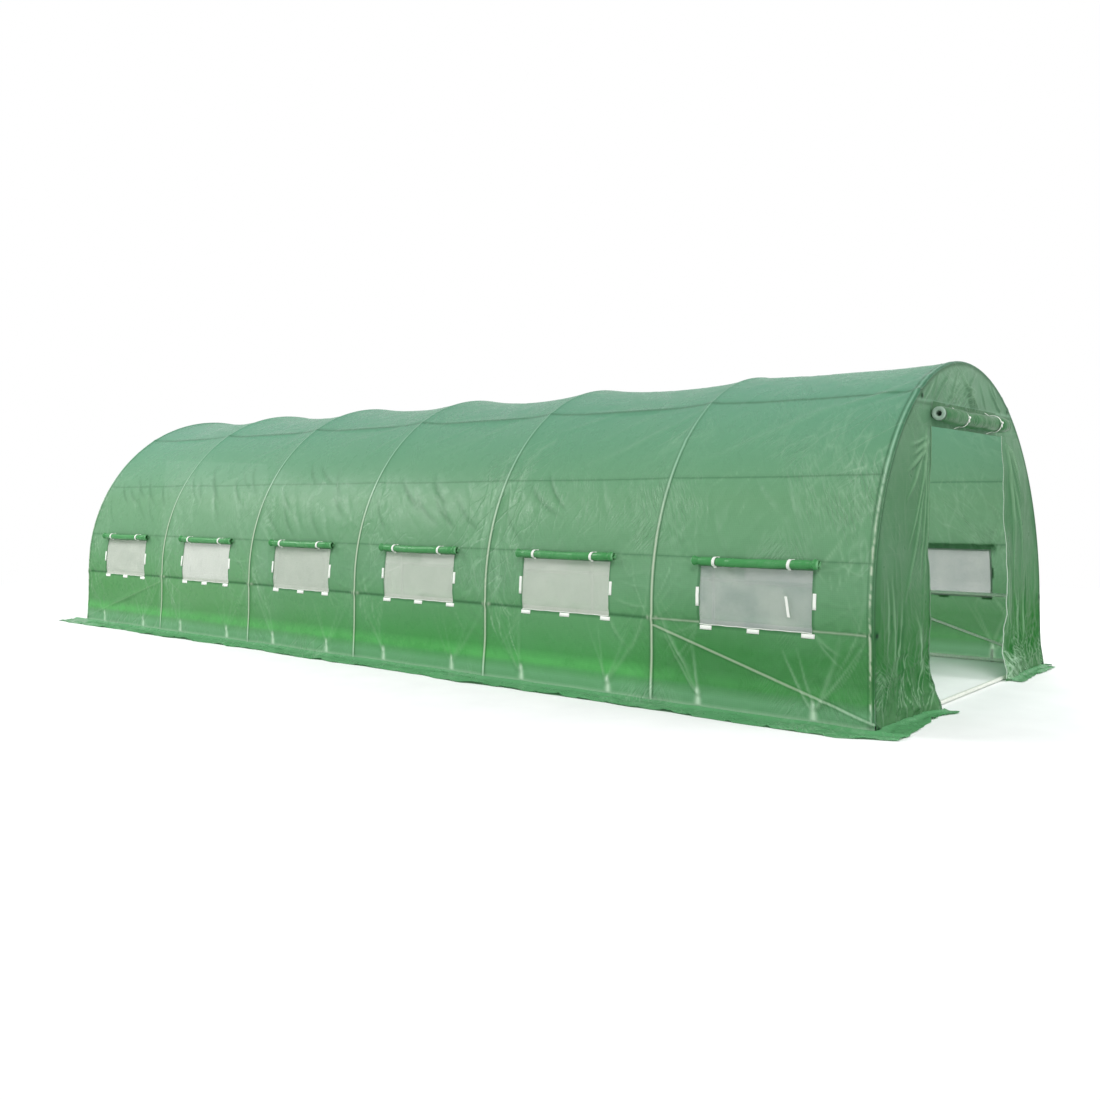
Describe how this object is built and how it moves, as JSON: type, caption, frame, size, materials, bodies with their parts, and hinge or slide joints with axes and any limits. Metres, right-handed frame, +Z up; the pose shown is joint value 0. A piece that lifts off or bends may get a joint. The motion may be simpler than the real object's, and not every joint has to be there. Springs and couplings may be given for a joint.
{
  "type": "polytunnel greenhouse",
  "caption": "Walk-in arched polytunnel with a steel tube hoop frame, a translucent green sheet cover, roll-up netted side windows and rolled-up doors in both ends.",
  "frame": {"origin": "middle of the footprint, on the ground", "axes": "+X across to the right seen from the pictured doorway, +Y along the tunnel away from that doorway, +Z up"},
  "size_m": [3.44, 8.4796, 2.0498],
  "materials": {
    "tube": "galvanised, white coated",
    "clamp": "moulded",
    "cover": "woven translucent polyethylene",
    "panel": "woven translucent polyethylene",
    "net": "fine insect net",
    "flap": "rolled woven polyethylene",
    "webbing": "white webbing and tape"
  },
  "bodies": {
    "root": {"hoop_1": "tube", "hoop_2": "tube", "hoop_3": "tube", "hoop_4": "tube", "hoop_5": "tube", "hoop_6": "tube", "hoop_7": "tube", "left_base_rail": "tube", "right_base_rail": "tube", "front_base_rail": "tube", "back_base_rail": "tube", "left_side_purlin": "tube", "right_side_purlin": "tube", "left_roof_purlin": "tube", "right_roof_purlin": "tube", "front_header_bar": "tube", "back_header_bar": "tube", "left_braces": "tube", "right_braces": "tube", "base_clamps": "clamp", "side_clamps": "clamp", "roof_clamps": "clamp", "tube_end_caps": "clamp", "left_wall_sheet": "cover", "right_wall_sheet": "cover", "left_shoulder_sheet": "cover", "right_shoulder_sheet": "cover", "roof_sheet": "cover", "front_left_panel": "panel", "front_right_panel": "panel", "front_gable_panel": "panel", "back_left_panel": "panel", "back_right_panel": "panel", "back_gable_panel": "panel", "left_skirt": "panel", "right_skirt": "panel", "front_skirts": "panel", "back_skirts": "panel", "left_window_nets": "net", "right_window_nets": "net", "left_window_rolls": "flap", "right_window_rolls": "flap", "front_door_roll": "flap", "back_door_roll": "flap", "window_tabs": "webbing", "roll_ties": "webbing", "door_zips": "webbing", "ground_straps": "webbing"}
  },
  "joints": []
}
